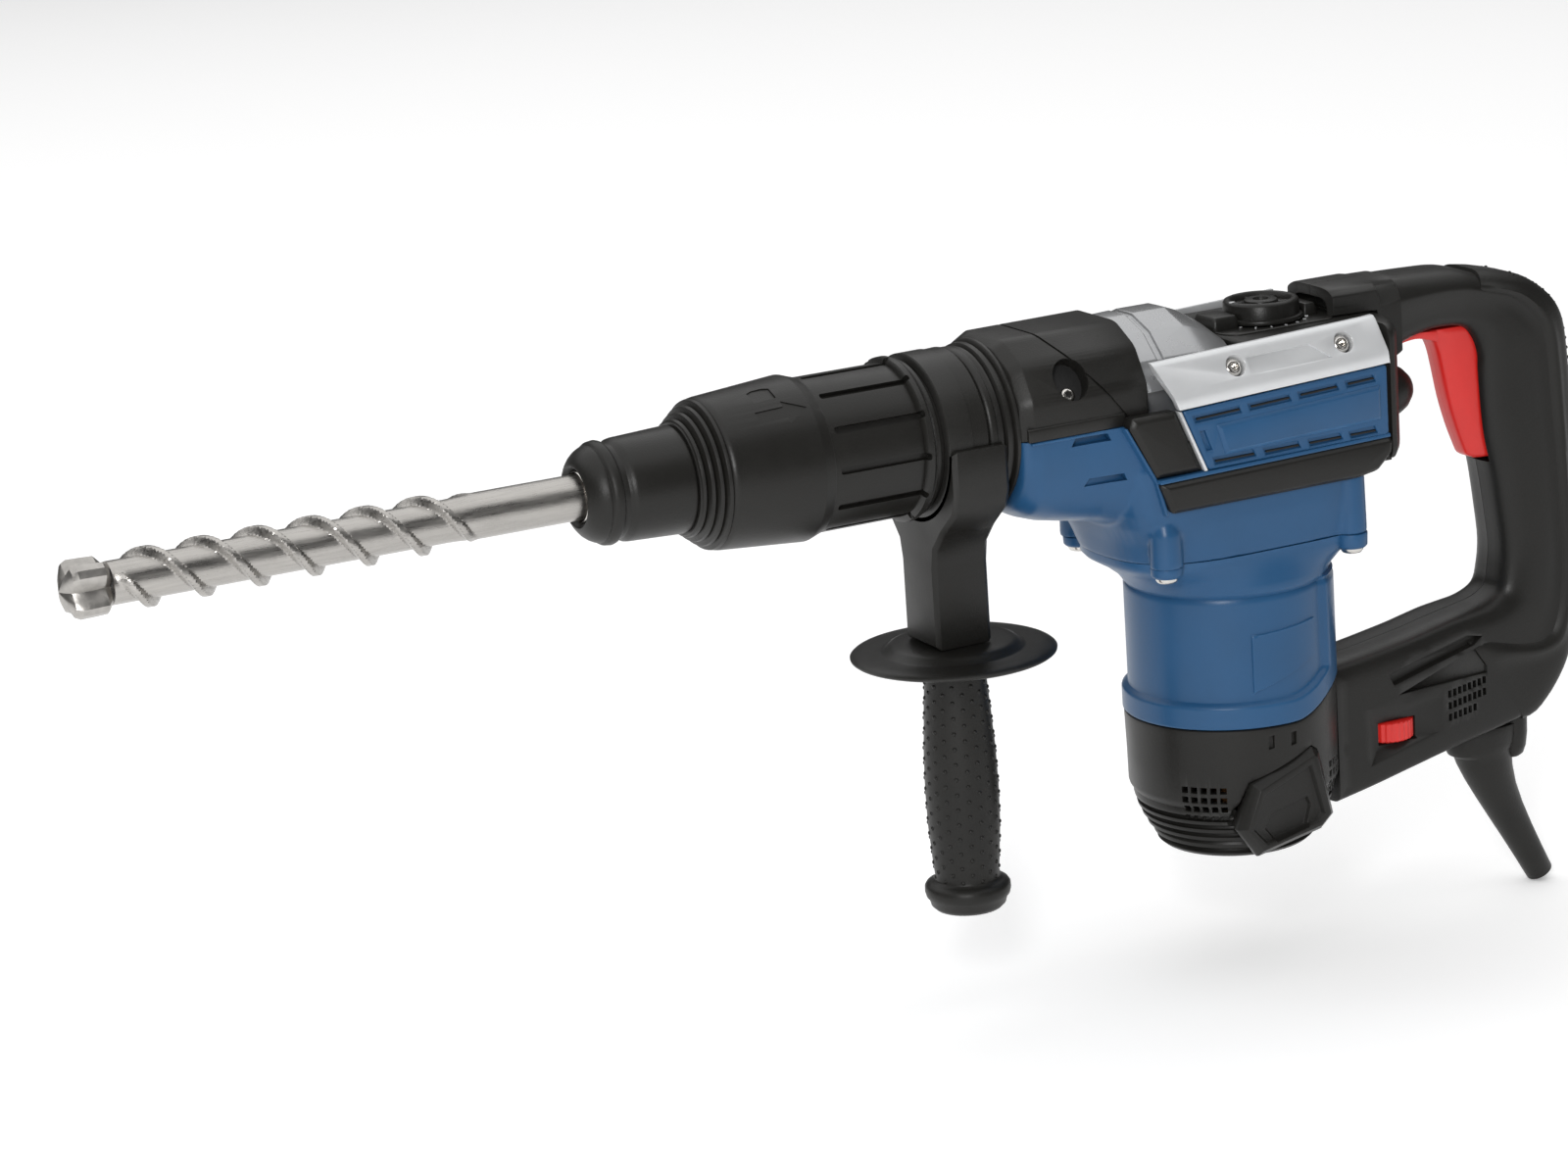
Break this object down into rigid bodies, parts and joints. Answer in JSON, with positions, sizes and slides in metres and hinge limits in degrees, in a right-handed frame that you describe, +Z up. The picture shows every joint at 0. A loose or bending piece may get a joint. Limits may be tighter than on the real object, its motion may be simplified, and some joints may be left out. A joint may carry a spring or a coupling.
{
  "type": "corded rotary hammer",
  "caption": "Corded rotary hammer drill: slotted tool holder with masonry bit, swinging side handle with guard, vertical motor, D-shaped rear handle with red trigger.",
  "frame": {"origin": "centre of the motor end cap's flat underside, on the vertical motor axis", "axes": "+X from the drill bit back towards the rear handle along the hammer axis, +Z up along the motor axis, +Y to the tool's right side seen from behind the handle looking forwards along -X"},
  "size_m": [0.6734, 0.0952, 0.2861],
  "materials": {
    "blue_shell": "satin blue moulded plastic",
    "black_plastic": "matte black moulded plastic",
    "black_rubber": "matte black rubber",
    "silver_trim": "satin silver",
    "tool_steel": "brushed and ground",
    "carbide": "sintered grey",
    "cast_aluminium": "cast",
    "copper_iron": "varnished winding and laminations",
    "red_plastic": "satin red",
    "graphite": "pressed carbon"
  },
  "bodies": {
    "housing": {"bearing_bridge": "cast_aluminium", "brush_carbon_left": "graphite", "brush_carbon_right": "graphite", "brush_cover_left": "black_plastic", "brush_cover_right": "black_plastic", "cable_boot": "black_rubber", "control_module": "black_plastic", "crank_case": "cast_aluminium", "front_bearing": "tool_steel", "front_shell": "blue_shell", "gear_cover": "black_plastic", "gear_ring": "silver_trim", "guard_tube": "black_plastic", "handle_shell_left": "black_plastic", "handle_shell_right": "black_plastic", "lower_bearing": "tool_steel", "lower_gear_shell": "blue_shell", "motor_end_cap": "black_plastic", "motor_housing": "blue_shell", "rear_cover": "black_plastic", "rear_dome": "black_rubber", "side_band_left": "black_plastic", "side_band_right": "black_plastic", "side_strip_left": "silver_trim", "side_strip_right": "silver_trim", "side_trim_left": "black_plastic", "side_trim_right": "black_plastic", "soft_grip": "black_rubber", "stator": "copper_iron", "switch_module": "black_plastic", "top_deck": "black_plastic", "upper_bearing": "tool_steel", "vent_panel_left": "blue_shell", "vent_panel_right": "blue_shell"},
    "bit": {"drill_bit": "tool_steel", "carbide_head": "carbide"},
    "chuck": {"tool_holder": "tool_steel", "lock_bar_upper": "tool_steel", "lock_bar_lower": "tool_steel", "dust_cap": "black_rubber", "chuck_cone": "black_plastic", "spindle_tube": "tool_steel", "spindle_gear": "tool_steel"},
    "sleeve": {"locking_sleeve": "black_plastic"},
    "beater": {"beat_piece": "tool_steel"},
    "ram": {"striker": "tool_steel"},
    "piston": {"piston": "cast_aluminium", "connecting_rod": "tool_steel"},
    "crank": {"crank_gear": "tool_steel"},
    "intermediate": {"drive_pinion": "tool_steel"},
    "rotor": {"armature": "copper_iron", "motor_fan": "black_plastic"},
    "side_bracket": {"clamp_band": "black_plastic", "side_handle_arm": "black_plastic", "grip_bolt": "tool_steel"},
    "side_handle": {"hand_guard": "black_plastic", "side_grip": "black_rubber"},
    "selector": {"mode_knob": "black_plastic"},
    "switch_lever": {"trigger": "red_plastic"},
    "dial": {"speed_dial": "red_plastic"}
  },
  "joints": [
    {"name": "rotor_spin", "type": "hinge", "parent": "housing", "child": "rotor", "pos_m": [0, 0, 0.087], "axis": [0, 0, 1], "continuous": true},
    {"name": "crank_spin", "type": "hinge", "parent": "housing", "child": "crank", "pos_m": [-0.032, 0, 0.1645], "axis": [0, 0, 1], "continuous": true},
    {"name": "intermediate_spin", "type": "hinge", "parent": "housing", "child": "intermediate", "pos_m": [-0.065, 0, 0.1645], "axis": [0, 0, 1], "continuous": true},
    {"name": "chuck_spin", "type": "hinge", "parent": "housing", "child": "chuck", "pos_m": [-0.243, 0, 0.197], "axis": [1, 0, 0], "continuous": true},
    {"name": "bit_float", "type": "slide", "parent": "chuck", "child": "bit", "axis": [1, 0, 0], "range_m": [0, 0.0095]},
    {"name": "sleeve_pull", "type": "slide", "parent": "chuck", "child": "sleeve", "axis": [1, 0, 0], "range_m": [0, 0.012], "stiffness_N_per_m": 1200, "springref_m": -0.008},
    {"name": "beat_piece_travel", "type": "slide", "parent": "housing", "child": "beater", "axis": [1, 0, 0], "range_m": [0, 0.003]},
    {"name": "striker_travel", "type": "slide", "parent": "housing", "child": "ram", "axis": [1, 0, 0], "range_m": [0, 0.022]},
    {"name": "piston_stroke", "type": "slide", "parent": "housing", "child": "piston", "axis": [1, 0, 0], "range_m": [0, 0.024]},
    {"name": "side_handle_swing", "type": "hinge", "parent": "housing", "child": "side_bracket", "pos_m": [-0.132, 0, 0.197], "axis": [1, 0, 0], "range_deg": [-180, 180]},
    {"name": "side_grip_clamp", "type": "hinge", "parent": "side_bracket", "child": "side_handle", "pos_m": [-0.1304, 0, 0.087], "axis": [0, 0, 1], "range_deg": [-360, 360]},
    {"name": "mode_select", "type": "hinge", "parent": "housing", "child": "selector", "pos_m": [0.0235, 0, 0.222], "axis": [0, 0, 1], "range_deg": [-90, 90]},
    {"name": "trigger_pull", "type": "hinge", "parent": "housing", "child": "switch_lever", "pos_m": [0.129, 0, 0.198], "axis": [0, -1, 0], "range_deg": [0, 6], "stiffness_Nm_per_rad": 6, "springref_deg": -5.73},
    {"name": "speed_set", "type": "hinge", "parent": "housing", "child": "dial", "pos_m": [0.074, -0.0053, 0.034], "axis": [0, 0, 1], "range_deg": [-150, 150]}
  ],
  "couplings": [
    {"joint": "crank_spin", "follows": "rotor_spin", "ratio": -0.23077},
    {"joint": "intermediate_spin", "follows": "rotor_spin", "ratio": 0.85714},
    {"joint": "chuck_spin", "follows": "rotor_spin", "ratio": 0.23077}
  ]
}
